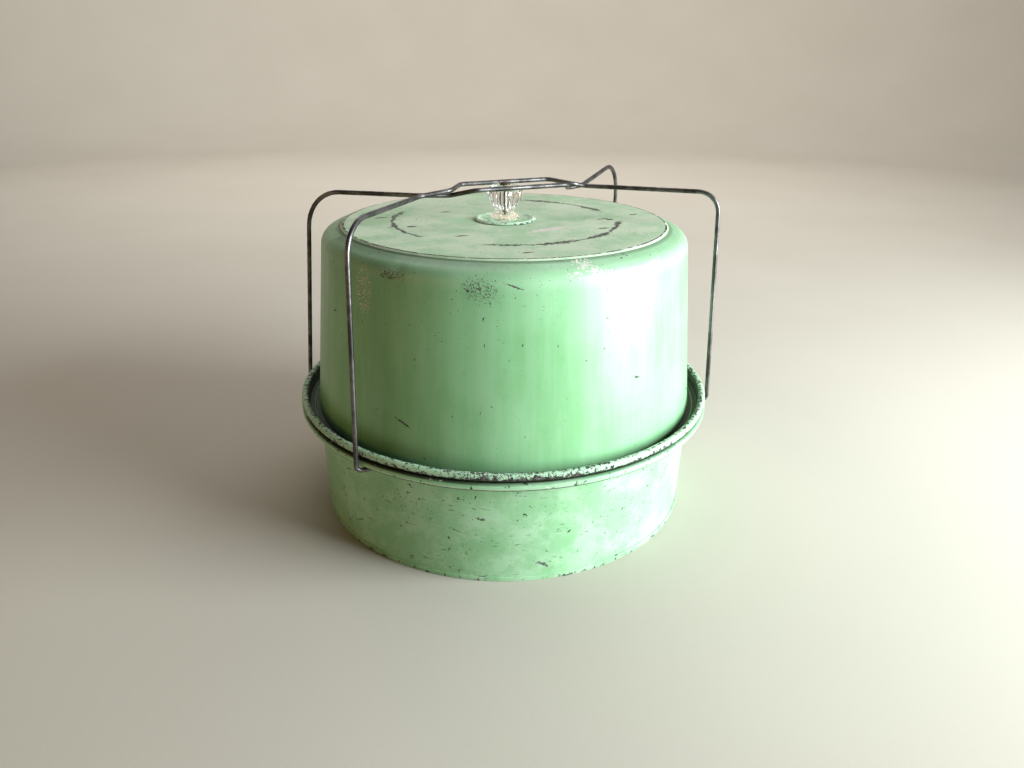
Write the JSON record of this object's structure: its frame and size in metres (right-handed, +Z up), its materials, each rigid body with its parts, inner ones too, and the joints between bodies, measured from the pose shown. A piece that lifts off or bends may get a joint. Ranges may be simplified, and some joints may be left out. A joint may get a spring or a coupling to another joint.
{
  "type": "cake and pie carrier",
  "caption": "Round painted tin carrier: a lower drum, a nesting tray, a tall cover with a fluted glass knob, and two hinged wire bails that meet over the cover.",
  "frame": {"origin": "centre of the drum's underside, on the surface the carrier stands on", "axes": "+Z up; +X along both bail hinges; -Y towards the front bail"},
  "size_m": [0.2928, 0.2928, 0.2231],
  "materials": {
    "paint": "worn gloss enamel",
    "wire": "dark aged steel, burnished",
    "screw": "aged steel",
    "glass": "clear pressed glass",
    "gasket": "pressed fibre"
  },
  "bodies": {
    "base": {"base_drum": "paint", "base_bottom": "paint", "base_rim_wire": "wire"},
    "tray": {"cake_tray": "paint", "tray_rim_wire": "wire"},
    "cover": {"cover_shell": "paint", "knob_rosette": "paint", "knob_gasket": "gasket", "knob_glass": "glass", "knob_top_washer": "gasket", "knob_screw": "screw", "knob_inner_washer": "screw", "knob_nut": "screw"},
    "front_bail": {"front_bail": "wire"},
    "rear_bail": {"rear_bail": "wire"}
  },
  "joints": [
    {"name": "tray_lift", "type": "slide", "parent": "base", "child": "tray", "axis": [0, 0, 1], "range_m": [0, 0.006]},
    {"name": "cover_lift", "type": "slide", "parent": "tray", "child": "cover", "axis": [0, 0, 1], "range_m": [0, 0.009]},
    {"name": "front_bail_swing", "type": "hinge", "parent": "base", "child": "front_bail", "pos_m": [0, -0.0745, 0.0713], "axis": [1, 0, 0], "range_deg": [0, 115]},
    {"name": "rear_bail_swing", "type": "hinge", "parent": "base", "child": "rear_bail", "pos_m": [0, 0.0745, 0.0713], "axis": [-1, 0, 0], "range_deg": [0, 115]}
  ]
}
